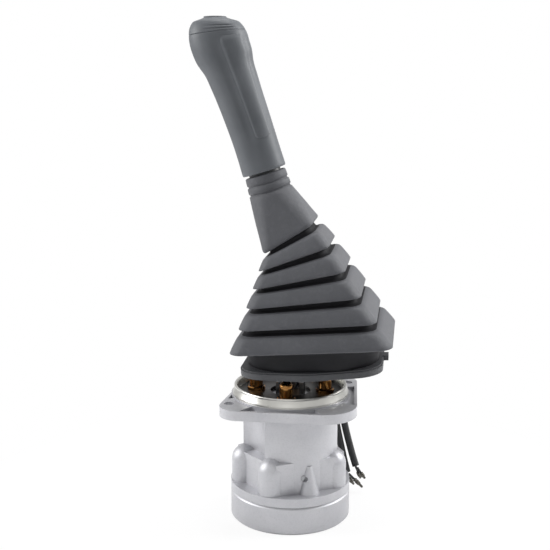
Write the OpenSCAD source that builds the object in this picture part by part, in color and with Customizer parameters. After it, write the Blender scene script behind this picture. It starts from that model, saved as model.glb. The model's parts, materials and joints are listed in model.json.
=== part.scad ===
// Hydraulic pilot control joystick: grip, cranked lever, pleated boot, universal joint,
// four plungers with their springs and spools, cast valve body and port plate.
// Millimetres. +Z is up along the valve axis. The origin is the middle of the two
// mounting holes on the underside of the flange.

/* [Valve body] */
// Diameter of the port plate and of the foot of the casting
drum_d = 80; // [78:1:92]
// Height of the port plate
port_plate_h = 18; // [16:1:26]
// Thickness of the face seal between port plate and casting
seal_t = 0.6; // [0.4:0.1:1]
// Depth of the casting below the flange
casting_depth = 58.4; // [56:0.2:70]
// Height of the foot ring of the casting
foot_h = 6; // [5:0.5:8]
// Height of the ledge above the foot ring
ledge_h = 21; // [19:0.5:24]
// Radius of the upper cylinder of the casting
upper_r = 31.5; // [31:0.5:34]
// Radius of each domed boss
boss_r = 9; // [8:0.25:9.5]
// Distance from the axis to each domed boss
boss_ring_r = 30.5; // [29:0.25:31]

/* [Flange] */
// Distance from the axis to the flange's left edge
flange_half_x = 42; // [41.5:0.5:46]
// Distance from the axis to the flange's front edge
flange_half_y = 44; // [42:0.5:48]
// Radius of the flange's left front corner
flange_corner_r = 13; // [12:0.5:14]
// Thickness of the flange
flange_t = 6.3; // [5.5:0.1:9]
// Height of the raised ring on the flange
ring_boss_h = 0.9; // [0.5:0.1:1.5]
// Pitch circle of the two mounting holes
mount_pcd = 92; // [90:0.5:93]
// Angle of the mounting holes from +X
mount_angle = 38.2; // [36:0.1:42]
// Diameter of each mounting hole
mount_hole_d = 6.6; // [5.5:0.1:7]

/* [Retainer plate] */
// Outer radius of the polished retainer plate
retainer_r = 37.5; // [36:0.25:38.5]
// Thickness of the retainer plate's floor
retainer_t = 2; // [1.6:0.1:2.2]
// Height of the retainer plate's rim above the flange
rim_h = 7; // [6:0.25:9]

/* [Universal joint] */
// Height of the joint's centre above the flange's underside
pivot_z = 14; // [13.9:0.05:15]
// Radius of the trunnions of the cross
trunnion_r = 2.2; // [2:0.05:2.5]
// Running clearance on the radius of trunnions and guides
run_clear = 0.03; // [0.02:0.005:0.05]
// Greatest tilt of the lever to each side, in degrees
tilt_max = 19; // [15:0.5:19]

/* [Swash plate and nuts] */
// Radius of the swash plate
swash_r = 24.5; // [24.2:0.1:24.8]
// Height of the swash plate's underside above the joint's centre
swash_rise = 7.5; // [7.4:0.05:8]
// Thickness of the swash plate
swash_t = 4.5; // [4:0.1:5]
// Size across the flats of both nuts
nut_af = 18; // [16:0.5:20]
// Height of the adjusting nut
adjust_nut_h = 6; // [5:0.5:8]
// Height of the lock nut
lock_nut_h = 6; // [5:0.5:8]

/* [Plungers and springs] */
// Distance from the axis to each plunger
plunger_ring_r = 23; // [22.8:0.1:23.2]
// Radius of each plunger
plunger_r = 4.4; // [4.2:0.05:4.5]
// Play between plunger and swash plate at rest
plunger_play = 0.15; // [0.15:0.01:0.2]
// Length of each plunger
plunger_len = 35; // [34.5:0.5:36]
// Outer radius of each plunger guide
guide_r = 6; // [5.9:0.05:6.1]
// Wire radius of the return springs
return_wire_r = 0.55; // [0.4:0.05:0.65]
// Wire radius of the metering springs
meter_wire_r = 0.4; // [0.3:0.05:0.5]
// Radius of each spool
spool_r = 2.4; // [2.2:0.1:2.6]

/* [Lever] */
// Radius of the lever bar
lever_r = 6.5; // [6:0.25:7]
// Height of the lever's bend above the flange's underside
bend_z = 98; // [92:1:104]
// Lean of the lever above its bend, in degrees
lean = 17.3; // [12:0.5:20]
// Distance from the bend to the bottom of the grip
grip_start = 58; // [57:1:64]

/* [Grip] */
// Half width of the grip at its waist
grip_half_w = 14; // [13:0.25:16]
// Half width of the grip at its head
head_half_w = 18.4; // [16.5:0.2:20]
// Radius of the thumb button
button_r = 6.5; // [5.5:0.25:7]
// Travel of the thumb button
button_travel = 2; // [1.5:0.25:2.5]

/* [Boot] */
// Height of the lowest lip of the boot above the flange's underside
boot_lip_z = 45; // [43:0.5:50]
// Width of the lowest pleat along X
boot_w = 103; // [98:1:108]
// Depth of the lowest pleat along Y
boot_d = 88; // [86:1:96]
// Wall of the boot
boot_wall = 2.2; // [1.8:0.1:2.6]
// Thickness of the boot's base plate
base_plate_t = 4.8; // [4.5:0.1:6]

/* [Harness] */
// Diameter of each sleeved strand
strand_d = 5; // [4.5:0.25:5.5]

/* [Hidden] */
$fn = 48;
eps = 0.01;

SIDES = ["right", "back", "left", "front"];

// Levels of the body, downwards from the flange's underside
casting_bottom = -casting_depth;
port_plate_top = casting_bottom - seal_t;
base_z = port_plate_top - port_plate_h;
foot_top = casting_bottom + foot_h;
ledge_top = foot_top + ledge_h;
boss_angles = [195, 254, 343, 75];
boss_top = ledge_top + 2.5;
web_face_r = 31.2;
notch_r = mount_pcd / 2 - 23;
floor_z = flange_t;
ring_boss_r = retainer_r + 1.8;

// Levels of the plunger stations
tilt_rad = tilt_max * PI / 180;
plunger_stroke = 24.0 * tilt_rad;
guide_top = pivot_z - 3.5;
chamber_floor = -47;
plunger_top = pivot_z + swash_rise - plunger_play;
plunger_bottom = plunger_top - plunger_len;
guide_bottom = plunger_bottom + plunger_stroke + 0.5;
guide_collar_r = guide_r + 1;
guide_collar_t = 1.2;
plunger_seal_r = plunger_r + 0.9;
plunger_seal_h = 2;
seat_r = guide_r - 0.3;
seat_t = 2.6;
seat_hub_r = 3.6;
seat_hub_h = 5;
seat_bottom = plunger_bottom - seat_t;
hub_bottom = seat_bottom - seat_hub_h;
spool_collar_top = hub_bottom - 10.75;
spool_collar_t = 2;
spool_bottom = port_plate_top - 8;
spool_bore_r = spool_r + run_clear;

// Universal joint
stem_r = 6;
stem_bottom = -12;
joint_disc_r = 12.5;
joint_disc_t = 3;
ear_in = 6.3;
ear_t = 3;
ear_r = trunnion_r + 2;
yoke_disc_r = 10.4;
yoke_disc_t = 2;
swash_bottom = pivot_z + swash_rise;
swash_top = swash_bottom + swash_t;
adjust_nut_top = swash_top + adjust_nut_h;
lock_nut_top = adjust_nut_top + lock_nut_h;
stud_top = lock_nut_top + 9;
hex_corner = 1 / cos(30);

// Lever and grip, along the leaning axis
rod_socket_r = 8.5;
rod_socket_h = 13;
adapter_r = lever_r + 3.9;
adapter_start = grip_start - 14;
grip_split = grip_start + 91.5;
grip_top = grip_start + 102.5;
rod_end = grip_start + 50;
switch_z = grip_start + 66;
switch_h = 14;
switch_r = 7.4;
button_flange_r = button_r + 1.6;
button_flange_t = 1.6;
head_shift = 3.3;

// Boot and its plate
plate_bottom = boot_lip_z - 18.7;
plate_top = plate_bottom + base_plate_t;
plate_tilt = 3;
plate_corners = [[-10, 18, 20], [14, 10.5, 31.5], [41.5, 16, 20]];
neck_x = [-27, 59];
neck_half_y = 37.5;
neck_r = neck_half_y - 4;
neck_seat_z = plate_top - 1.6;
throat_x = [-25.8, 55];
throat_half_y = 33.3;
relief_clear = 0.4;
pleat_count = 5;

// ---------------------------------------------------------------- helpers

module on_ring(r, angles) {
    for (a = angles) rotate([0, 0, a]) translate([r, 0, 0]) children();
}

module tube(r_out, r_in, z0, z1) {
    translate([0, 0, z0]) difference() {
        cylinder(r = r_out, h = z1 - z0);
        translate([0, 0, -1]) cylinder(r = r_in, h = z1 - z0 + 2);
    }
}

module rod(r, z0, z1) {
    translate([0, 0, z0]) cylinder(r = r, h = z1 - z0);
}

module rounded_rect(half_x, half_y, r) {
    square([2 * half_x, 2 * (half_y - r)], center = true);
    square([2 * (half_x - r), 2 * half_y], center = true);
    for (sx = [-1, 1]) for (sy = [-1, 1])
        translate([sx * (half_x - r), sy * (half_y - r)]) circle(r = r);
}

// A solid through closed rings of equal point counts, capped at both ends; from point
// flip_from on, each quad is split along its other diagonal
module loft(rings, flip_from = 10000) {
    n = len(rings[0]);
    m = len(rings);
    polyhedron(
        points = [for (ring = rings) each ring],
        faces = concat(
            [[for (i = [n - 1:-1:0]) i]],
            [for (j = [0:m - 2]) for (i = [0:n - 1]) let (k = (i + 1) % n)
                each i >= flip_from
                    ? [[j * n + i, j * n + k, (j + 1) * n + i],
                       [j * n + k, (j + 1) * n + k, (j + 1) * n + i]]
                    : [[j * n + i, j * n + k, (j + 1) * n + k],
                       [j * n + i, (j + 1) * n + k, (j + 1) * n + i]]],
            [[for (i = [0:n - 1]) (m - 1) * n + i]]));
}

// A hollow skin: the rings run up the outside and down the inside, and close on themselves
module loft_loop(rings) {
    n = len(rings[0]);
    m = len(rings);
    polyhedron(
        points = [for (ring = rings) each ring],
        faces = [for (j = [0:m - 1]) for (i = [0:n - 1])
            let (k = (i + 1) % n, q = (j + 1) % m)
                each [[j * n + i, j * n + k, q * n + k], [j * n + i, q * n + k, q * n + i]]]);
}

// A coil spring standing on z0 and reaching z1
module coil(mean_r, wire_r, z0, z1, turns, steps = 10, sides = 5) {
    lo = z0 + wire_r;
    hi = z1 - wire_r;
    last = turns * steps;
    loft([for (j = [0:last]) let (a = 360 * j / steps, z = lo + (hi - lo) * j / last)
        [for (i = [0:sides - 1]) let (b = 360 * i / sides, r = mean_r + wire_r * cos(b))
            [r * cos(a), r * sin(a), z + wire_r * sin(b)]]]);
}

function unit(v) = v / norm(v);

// Rings of a tube that follows a list of points
function path_rings(path, r, sides) =
    [for (j = [0:len(path) - 1])
        let (t = unit(path[min(j + 1, len(path) - 1)] - path[max(j - 1, 0)]),
             u = unit(cross([0, 1, 0], t)), v = cross(t, u))
            [for (i = [0:sides - 1]) let (a = 360 * i / sides)
                path[j] + r * cos(a) * u + r * sin(a) * v]];

// Outward normal of the line that touches two circles [x, y, r] on their right side
function touch(a, b) =
    let (d = [b[0] - a[0], b[1] - a[1]], g = atan2(d[1], d[0]) - acos((a[2] - b[2]) / norm(d)))
        [cos(g), sin(g)];

// A point at a circle's edge, or set back from it
function edge_point(c, n, set_back = 0) = [c[0], c[1]] + (c[2] - set_back) * n;

// The outline round a ring of circles, listed counter-clockwise
module belt(circles) {
    m = len(circles);
    polygon([for (i = [0:m - 1]) let (a = circles[i], b = circles[(i + 1) % m], n = touch(a, b))
        each [edge_point(a, n, 0.02), edge_point(b, n, 0.02)]]);
    for (c = circles) translate([c[0], c[1]]) circle(r = c[2]);
}

module lever_axis() {
    translate([0, 0, bend_z]) rotate([0, -lean, 0]) children();
}

// ---------------------------------------------------------------- valve body

// The flat web between two neighbouring bosses, in plan
module web(a, b) {
    p = boss_ring_r * [cos(a), sin(a)];
    q = boss_ring_r * [cos(b), sin(b)];
    span = norm(q - p);
    mid = (p + q) / 2;
    face = min(web_face_r, norm(mid) + boss_r - 0.6);
    rotate([0, 0, atan2(mid[1], mid[0])]) translate([0, -span / 2]) square([face, span]);
}

module mount_spots() {
    on_ring(mount_pcd / 2, [mount_angle, mount_angle + 180]) children();
}

// Half the outline of a boss with a domed top
module domed_profile() {
    intersection() {
        union() {
            translate([0, casting_bottom + 2]) square([boss_r, boss_top - boss_r - casting_bottom - 2]);
            translate([0, boss_top - boss_r]) circle(r = boss_r);
        }
        translate([0, casting_bottom + 2]) square([boss_r + 1, casting_depth]);
    }
}

// The flange's corners, counter-clockwise from the left front one
FLANGE = [
    [-flange_half_x + flange_corner_r, -flange_half_y + flange_corner_r, flange_corner_r],
    [flange_half_x - 18, -flange_half_y + 22, flange_corner_r + 8.6],
    [flange_half_x - 12, flange_half_y - 14, flange_corner_r - 0.5],
    [-flange_half_x + 20, flange_half_y - 16, flange_corner_r + 0.5]];
flange_rib = 1.8;

// A shallow pocket along one edge of the flange, kept off the corners by trim
module pocket(i, trim) {
    a = FLANGE[i];
    b = FLANGE[(i + 1) % 4];
    n = touch(a, b);
    t = [-n[1], n[0]];
    p = edge_point(a, n, flange_rib) + trim[0] * t;
    q = edge_point(b, n, flange_rib) - trim[1] * t;
    translate([0, 0, flange_t - 2.2]) linear_extrude(4) polygon([p, q, 0.5 * q, 0.5 * p]);
}

module flange() {
    difference() {
        linear_extrude(flange_t) belt(FLANGE);
        difference() {
            union() {
                pocket(0, [2, 0]);
                pocket(1, [0, 11]);
                pocket(2, [4, 2]);
                pocket(3, [2, 11]);
            }
            cylinder(r = ring_boss_r, h = flange_t + 5);
        }
    }
    tube(ring_boss_r, retainer_r - 3, flange_t - 1, flange_t + ring_boss_h);
}

module valve_body() {
    color("lightgray") difference() {
        union() {
            rod(drum_d / 2, casting_bottom, foot_top);
            translate([0, 0, casting_bottom + 2]) linear_extrude(ledge_top - casting_bottom - 2) {
                for (i = [0:3]) web(boss_angles[i], boss_angles[(i + 1) % 4]);
                circle(r = upper_r);
            }
            translate([0, 0, ledge_top - 0.5]) linear_extrude(flange_t - ledge_top) difference() {
                circle(r = upper_r);
                mount_spots() circle(r = notch_r);
            }
            on_ring(boss_ring_r, boss_angles) rotate_extrude() domed_profile();
            drain_boss();
            flange();
        }
        mount_spots() rod(mount_hole_d / 2, -1, 20);
        on_ring(plunger_ring_r, [0, 90, 180, 270]) {
            rod(guide_r, chamber_floor, 20);
            rod(guide_collar_r, flange_t - guide_collar_t, 20);
            rod(spool_bore_r, casting_bottom - 1, chamber_floor + 1);
        }
        rod(stem_r, stem_bottom, 20);
        rod(joint_disc_r, flange_t - joint_disc_t, 20);
        on_ring(retainer_screw_ring, retainer_screw_angles) rod(1.5, 0.8, 20);
        on_ring(port_screw_ring, boss_angles) rod(2.5, casting_bottom - 1, port_screw_top);
        drain_hole();
    }
}

retainer_screw_ring = retainer_r - 6.3;
retainer_screw_angles = [mount_angle + 7, mount_angle + 97, mount_angle + 187, mount_angle + 277];
port_screw_ring = boss_ring_r + 0.5;
port_screw_top = casting_bottom + 12;

// The sloped boss of the drain hole, on the web between the front and right bosses
drain_angle = 300;
drain_z = casting_bottom + 16.5;
drain_boss_h = 23.4;

module drain_boss() {
    rotate([0, 0, drain_angle]) translate([upper_r - 0.5, 0, casting_bottom + 1])
        cylinder(r1 = 8, r2 = 1.8, h = drain_boss_h);
}

module drain_frame() {
    rotate([0, 0, drain_angle - 7]) translate([0, 0, drain_z]) rotate([0, 90, 0]) children();
}

module drain_hole() {
    drain_frame() rod(2, 24, 60);
}

module body_plug() {
    color("gainsboro") drain_frame() rod(2, upper_r - 5.5, upper_r + 0.3);
}

module port_plate_seal() {
    color("black") difference() {
        rod(drum_d / 2 - 1.2, port_plate_top, casting_bottom);
        on_ring(plunger_ring_r, [0, 90, 180, 270]) rod(3.4, base_z, 0);
        on_ring(port_screw_ring, boss_angles) rod(2.8, base_z, 0);
    }
}

port_r = 5.9;
port_depth = 12.5;
port_ring = 26;
head_r = 4.2;
head_h = 5;

module port_plate() {
    color("silver") difference() {
        union() {
            rod(drum_d / 2, base_z + 1, port_plate_top - 1);
            translate([0, 0, base_z]) cylinder(r1 = drum_d / 2 - 1, r2 = drum_d / 2, h = 1);
            translate([0, 0, port_plate_top - 1])
                cylinder(r1 = drum_d / 2, r2 = drum_d / 2 - 0.8, h = 1);
        }
        on_ring(port_ring, [45, 135, 225, 315]) rod(port_r, base_z - 1, base_z + port_depth);
        on_ring(9, [90, 270]) rod(port_r, base_z - 1, base_z + port_depth);
        on_ring(plunger_ring_r, [0, 90, 180, 270])
            rod(spool_bore_r, spool_bottom - 2.5, port_plate_top + 1);
        on_ring(port_screw_ring, boss_angles) {
            rod(2.7, base_z - 1, port_plate_top + 1);
            rod(head_r + 0.3, base_z - 1, base_z + head_h + 1);
        }
    }
}

module cap_screw(shank_r, cap_r, cap_h, length, key_r) {
    difference() {
        union() {
            cylinder(r = shank_r, h = length);
            translate([0, 0, -cap_h]) cylinder(r = cap_r, h = cap_h);
        }
        translate([0, 0, -cap_h - 1]) cylinder(r = key_r, h = 1 + cap_h * 0.55, $fn = 6);
    }
}

module port_plate_screws() {
    color("dimgray") on_ring(port_screw_ring, boss_angles)
        translate([0, 0, base_z + head_h + 1])
            cap_screw(2.5, head_r, head_h, port_screw_top - base_z - head_h - 2, 2.3);
}

// ---------------------------------------------------------------- retainer and guides

module retainer_plate() {
    wall = 1.6;
    rim_top = flange_t + rim_h;
    seat = flange_t + ring_boss_h;
    floor_top = flange_t + retainer_t;
    color("whitesmoke") difference() {
        rotate_extrude() polygon([
            [joint_disc_r + 0.8, flange_t], [retainer_r - 3, flange_t],
            [retainer_r - 3, seat], [retainer_r + 1, seat],
            [retainer_r + 0.9, seat + 1.2], [retainer_r + 0.2, seat + 3],
            [retainer_r - 0.4, rim_top - 1.4], [retainer_r - 0.2, rim_top - 0.5],
            [retainer_r - 0.6, rim_top], [retainer_r - wall, rim_top],
            [retainer_r - wall - 0.6, rim_top - 1], [retainer_r - 3.2, floor_top],
            [joint_disc_r + 0.8, floor_top]]);
        on_ring(plunger_ring_r, [0, 90, 180, 270]) rod(guide_r, 0, 20);
        on_ring(retainer_screw_ring, retainer_screw_angles) rod(1.6, 0, 20);
    }
}

module retainer_screws() {
    color("gray") on_ring(retainer_screw_ring, retainer_screw_angles)
        translate([0, 0, flange_t + retainer_t]) rotate([180, 0, 0])
            cap_screw(1.5, 2.4, 1.6, 6.6, 1.2);
}

module plunger_guide(angle) {
    color("darkgoldenrod") rotate([0, 0, angle]) translate([plunger_ring_r, 0, 0]) difference() {
        union() {
            rod(guide_r, guide_bottom, guide_top - 0.6);
            translate([0, 0, guide_top - 0.6]) cylinder(r1 = guide_r, r2 = guide_r - 0.6, h = 0.6);
            rod(guide_collar_r, flange_t - guide_collar_t, flange_t);
        }
        rod(plunger_r + run_clear, guide_bottom - 1, 30);
        rod(plunger_seal_r, guide_top - plunger_seal_h, 30);
    }
}

module plunger_seals() {
    color("black") on_ring(plunger_ring_r, [0, 90, 180, 270])
        tube(plunger_seal_r, plunger_r + run_clear, guide_top - plunger_seal_h, guide_top - 0.2);
}

module plunger(angle) {
    color("peru") rotate([0, 0, angle]) translate([plunger_ring_r, 0, 0]) {
        rod(plunger_r, plunger_bottom, plunger_top - plunger_r);
        translate([0, 0, plunger_top - plunger_r]) sphere(r = plunger_r);
    }
}

module spring_seat(angle) {
    color("slategray") rotate([0, 0, angle]) translate([plunger_ring_r, 0, 0]) difference() {
        union() {
            rod(seat_r, seat_bottom, plunger_bottom);
            rod(seat_hub_r, hub_bottom, seat_bottom);
        }
        rod(2.2, hub_bottom - 1, seat_bottom);
    }
}

module return_spring(angle) {
    color("lightsteelblue") rotate([0, 0, angle]) translate([plunger_ring_r, 0, 0])
        coil(4.95, return_wire_r, chamber_floor, seat_bottom, 5);
}

module metering_spring(angle) {
    color("lightsteelblue") rotate([0, 0, angle]) translate([plunger_ring_r, 0, 0])
        coil(seat_hub_r - 0.75, meter_wire_r, spool_collar_top, hub_bottom, 3);
}

module spool(angle) {
    color("silver") rotate([0, 0, angle]) translate([plunger_ring_r, 0, 0]) rotate_extrude() {
        polygon([
            [0, spool_bottom], [spool_r, spool_bottom], [spool_r, spool_bottom + 4],
            [1.6, spool_bottom + 4], [1.6, spool_bottom + 7], [spool_r, spool_bottom + 7],
            [spool_r, casting_bottom + 2], [1.6, casting_bottom + 2],
            [1.6, casting_bottom + 6], [spool_r, casting_bottom + 6],
            [spool_r, spool_collar_top - spool_collar_t],
            [seat_hub_r, spool_collar_top - spool_collar_t], [seat_hub_r, spool_collar_top],
            [1.5, spool_collar_top], [1.5, hub_bottom - 2.6], [1, hub_bottom - 2.2],
            [0, hub_bottom - 2.2]]);
    }
}

// ---------------------------------------------------------------- universal joint

// An ear of the joint, bored along X, that reaches from the centre to the given level
module ear(reach) {
    low = min(reach, 0);
    for (side = [-1, 1]) translate([side * (ear_in + ear_t / 2), 0, pivot_z]) difference() {
        union() {
            rotate([0, 90, 0]) cylinder(r = ear_r, h = ear_t, center = true);
            translate([-ear_t / 2, -ear_r, low]) cube([ear_t, 2 * ear_r, abs(reach)]);
        }
        rotate([0, 90, 0]) cylinder(r = trunnion_r + run_clear, h = 3 * ear_t, center = true);
    }
}

module joint_base() {
    color("gray") {
        rod(joint_disc_r, flange_t - joint_disc_t, flange_t);
        rod(stem_r, stem_bottom, flange_t - joint_disc_t);
        ear(flange_t - pivot_z);
    }
}

module joint_cross() {
    color("silver") translate([0, 0, pivot_z]) {
        sphere(r = ear_in - 0.4);
        for (a = [0, 90]) rotate([0, 90, a])
            cylinder(r = trunnion_r, h = 2 * (ear_in + ear_t), center = true);
    }
}

module joint_yoke() {
    color("gray") {
        rotate([0, 0, 90]) ear(swash_rise + 0.5);
        rod(yoke_disc_r, swash_bottom, swash_bottom + yoke_disc_t);
        rod(stem_r, swash_bottom, stud_top);
    }
}

module swash_plate() {
    color("dimgray") difference() {
        union() {
            rod(swash_r, swash_bottom, swash_top - 1);
            translate([0, 0, swash_top - 1]) cylinder(r1 = swash_r, r2 = swash_r - 1, h = 1);
        }
        rod(yoke_disc_r, swash_bottom - 1, swash_bottom + yoke_disc_t);
        rod(stem_r, swash_bottom, swash_top + 1);
    }
}

module hex_nut(z0, z1) {
    difference() {
        intersection() {
            translate([0, 0, z0]) cylinder(r = nut_af / 2 * hex_corner, h = z1 - z0, $fn = 6);
            translate([0, 0, z0]) cylinder(r1 = nut_af / 2 + z1 - z0, r2 = nut_af / 2, h = z1 - z0);
        }
        rod(stem_r, z0 - 1, z1 + 1);
    }
}

module adjusting_nut() {
    color("goldenrod") hex_nut(swash_top, adjust_nut_top);
}

module lock_nut() {
    color("goldenrod") hex_nut(adjust_nut_top, lock_nut_top);
}

// ---------------------------------------------------------------- lever and grip

module lever_rod() {
    color("darkgray") {
        difference() {
            rod(rod_socket_r, lock_nut_top, lock_nut_top + rod_socket_h);
            rod(stem_r, lock_nut_top - 1, stud_top);
        }
        rod(lever_r, lock_nut_top + rod_socket_h, bend_z);
        translate([0, 0, bend_z]) sphere(r = lever_r + 0.25);
        lever_axis() cylinder(r = lever_r, h = rod_end);
    }
}

module boot_adapter() {
    color("black") lever_axis() tube(adapter_r, lever_r, adapter_start, grip_start);
}

// Stations up the grip: height above its bottom, shift towards -X, half width and half depth
// as multiples of the waist, and the angle by which the section turns towards level
head = head_half_w / grip_half_w;
GRIP = [
    [0, 0, 0.985, 0.985, 0], [1, 0, 1.01, 1.01, 0], [10, 0, 1, 1, 0], [22, 0.1, 1, 1.02, 0],
    [36, 0.5, 1.02, 1.05, 0], [50, 1.1, 1.05, 1.08, 0], [60, 1.6, 1.09, 1.12, 0],
    [68, 2.1, 0.16 + 0.74 * head, 1.16, 0], [76, 2.9, 0.04 + 0.94 * head, 1.2, 2],
    [83, 3.3, head, 1.21, 5], [88, 3.1, head, 1.2, 8], [91.5, 2.8, 0.97 * head, 1.17, 11]];
CAP = [
    [91.5, 2.8, 0.97 * head, 1.17, 11], [95, 2.3, 0.91 * head, 1.09, 14],
    [98.5, 1.5, 0.76 * head, 0.93, 16], [101, 0.9, 0.53 * head, 0.68, 17],
    [102.5, 0.6, 0.22 * head, 0.32, 17]];
GRIP_STEPS = 32;

// A point of the grip's section, pushed out by grow; 0 degrees is +X and 90 is the back
function grip_point(st, a, grow = 0) =
    let (p = grip_half_w * st[2] + grow, q = grip_half_w * st[3] + grow, e = 0.88,
         x = p * sign(cos(a)) * pow(abs(cos(a)), e))
        [-st[1] + x * cos(st[4]), q * sign(sin(a)) * pow(abs(sin(a)), e),
         grip_start + st[0] - x * sin(st[4])];

function grip_ring(st, grow = 0) =
    [for (i = [0:GRIP_STEPS - 1]) grip_point(st, 360 * i / GRIP_STEPS, grow)];

module button_axis() {
    lever_axis() translate([-1.2, 0, 0]) children();
}

module grip_body() {
    color("dimgray") difference() {
        lever_axis() loft([for (st = GRIP) grip_ring(st)]);
        lever_axis() rod(lever_r, grip_start - 1, rod_end);
        lever_axis() rod(2.5, rod_end - 1, switch_z + 1);
        button_axis() rod(button_flange_r + 0.3, switch_z, grip_split + 4);
    }
}

// The inlay down the front of the grip, on the arc of the section that faces -Y
PANEL_FROM = 25;
PANEL_TO = 29;
PANEL_T = 0.8;

module grip_front_panel() {
    arc = [for (i = [PANEL_FROM:PANEL_TO]) 360 * i / GRIP_STEPS];
    stations = [for (i = [3:len(GRIP) - 2]) GRIP[i]];
    color("gray") lever_axis() loft([for (st = stations)
        concat([for (a = arc) grip_point(st, a, PANEL_T)],
               [for (i = [len(arc) - 1:-1:0]) grip_point(st, arc[i], 0.05)])],
        flip_from = len(arc));
}

module grip_cap() {
    color("dimgray") difference() {
        lever_axis() loft([for (st = CAP) grip_ring(st, st[0] == CAP[0][0] ? -0.4 : 0)]);
        button_axis() {
            rod(button_r + 0.05, grip_split - 1, grip_top + 3);
            rod(button_flange_r + 0.3, grip_split - 4, grip_split + 4.5);
        }
    }
}

button_top = grip_top - 2;
button_flange_z = grip_split + 4.5 - button_flange_t - 0.1;

module thumb_button() {
    color("darkred") button_axis() {
        rod(button_r, button_flange_z, button_top - 1);
        translate([0, 0, button_top - 1]) cylinder(r1 = button_r, r2 = button_r - 1, h = 1);
        rod(button_flange_r, button_flange_z, button_flange_z + button_flange_t);
    }
}

module button_spring() {
    color("silver") button_axis()
        coil(5.2, 0.4, switch_z + switch_h, button_flange_z, 4);
}

module grip_switch() {
    color("black") button_axis() {
        rod(switch_r, switch_z, switch_z + switch_h);
        rod(2, switch_z, switch_z + switch_h + 5);
    }
}

// ---------------------------------------------------------------- boot

// A rounded rectangle in a plane that is tilted about Y, as a ring of points
CORNER_STEPS = 4;
function boot_ring(st, inset = 0) =
    let (hw = st[3] - inset, hd = st[4] - inset, r = min(max(st[5] - inset, 0.8), hw, hd))
        [for (c = [0:3]) for (k = [0:CORNER_STEPS])
            let (a = 90 * c + 90 * k / CORNER_STEPS,
                 sx = c == 0 || c == 3 ? 1 : -1, sy = c < 2 ? 1 : -1,
                 x = sx * (hw - r) + r * cos(a), y = sy * (hd - r) + r * sin(a))
                [st[0] + x * cos(st[2]), y, st[1] + x * sin(st[2])]];

// Place, tilt and half sizes of the taper that all the lips touch, at pleat number u
function taper(u, shrink) =
    [16.8 - 2.3 * u - 0.19 * u * u,
     boot_lip_z + 15.2 * u - 0.35 * u * u,
     4.2 + 0.55 * pow(u, 2.45),
     boot_w / 2 - 8 * u + 0.3 * u * u - shrink,
     boot_d / 2 - 4.3 * u - shrink,
     9 - 0.6 * u];

// One pleat: how far up it each ring lies, and how far inside the taper
PLEAT = [[0, 0.9], [0.06, 0], [0.62, 0.9], [0.7, 2.2], [0.78, 6.3], [0.93, 6.3]];

// A point of the tilted base plate, as place and height
function on_plate(x, z) = [x * cos(plate_tilt) - z * sin(plate_tilt) + plate_shift[0],
                           x * sin(plate_tilt) + z * cos(plate_tilt) + plate_shift[1]];
plate_shift = [5 - 5 * cos(plate_tilt) + plate_bottom * sin(plate_tilt),
               plate_bottom - 5 * sin(plate_tilt) - plate_bottom * cos(plate_tilt)];
neck_mid = (neck_x[0] + neck_x[1]) / 2;
neck_half = (neck_x[1] - neck_x[0]) / 2;
NECK_FROM = on_plate(neck_mid, neck_seat_z);
NECK = [
    [NECK_FROM[0], NECK_FROM[1], plate_tilt, neck_half, neck_half_y, neck_r],
    [neck_mid, boot_lip_z - 2, 4.2, neck_half, neck_half_y, 24]];
PLEATS = [for (i = [0:pleat_count - 1]) for (f = PLEAT) taper(i + f[0], f[1] * (1 - 0.07 * i))];

// The sleeve runs from the last lip to the collar, from square to round
collar_z = grip_start - 13.5;
collar_r = adapter_r + 3.8;
function on_axis(s) = [-s * sin(lean), bend_z + s * cos(lean)];
function mix(a, b, t) = a + (b - a) * t;
SLEEVE_FROM = taper(pleat_count, 0);
SLEEVE_TO = [on_axis(collar_z)[0], on_axis(collar_z)[1], lean, collar_r, collar_r, collar_r];
SLEEVE = [for (k = [0, 0.06, 0.25, 0.45, 0.65, 0.85])
    let (t = pow(k, 0.9))
        [for (i = [0:5]) mix(SLEEVE_FROM[i], SLEEVE_TO[i], t) - (k == 0 && i > 2 ? 1 : 0)]];
COLLAR = [for (g = [[0, 0], [0.5, 0.8], [1.3, 0.8], [1.8, 0.2], [5.3, 0.4], [5.8, 1.2],
                    [6.6, 1.2], [7.1, 0.6], [11.5, 0.9], [12, 1.4]])
    let (p = on_axis(collar_z + g[0]), r = collar_r - g[1]) [p[0], p[1], lean, r, r, r]];

module boot() {
    outside = concat(NECK, PLEATS, SLEEVE, COLLAR);
    throat_r = adapter_r + 0.7;
    inside = concat(NECK, PLEATS, SLEEVE);
    color("darkslategray") loft_loop(concat(
        [for (st = outside) boot_ring(st)],
        [for (s = [12, 0]) let (p = on_axis(collar_z + s))
            boot_ring([p[0], p[1], lean, throat_r, throat_r, throat_r])],
        [for (i = [len(inside) - 1:-1:0]) boot_ring(inside[i], boot_wall)]));
}

module plate_outline(inset = 0) {
    front = [for (c = plate_corners) [c[0], -c[1], c[2] - inset]];
    back = [for (i = [2:-1:0]) let (c = plate_corners[i]) [c[0], c[1], c[2] - inset]];
    belt(concat(front, back));
}

module plate_frame() {
    translate([5, 0, plate_bottom]) rotate([0, -plate_tilt, 0]) translate([-5, 0, -plate_bottom])
        children();
}

// Room for the dome of each plunger at the top of its stroke
module plunger_relief() {
    crown = plunger_top + plunger_stroke - plunger_r;
    on_ring(plunger_ring_r, [0, 90, 180, 270]) {
        rod(plunger_r + relief_clear, plate_bottom - 10, crown);
        translate([0, 0, crown]) sphere(r = plunger_r + relief_clear);
    }
}

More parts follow.
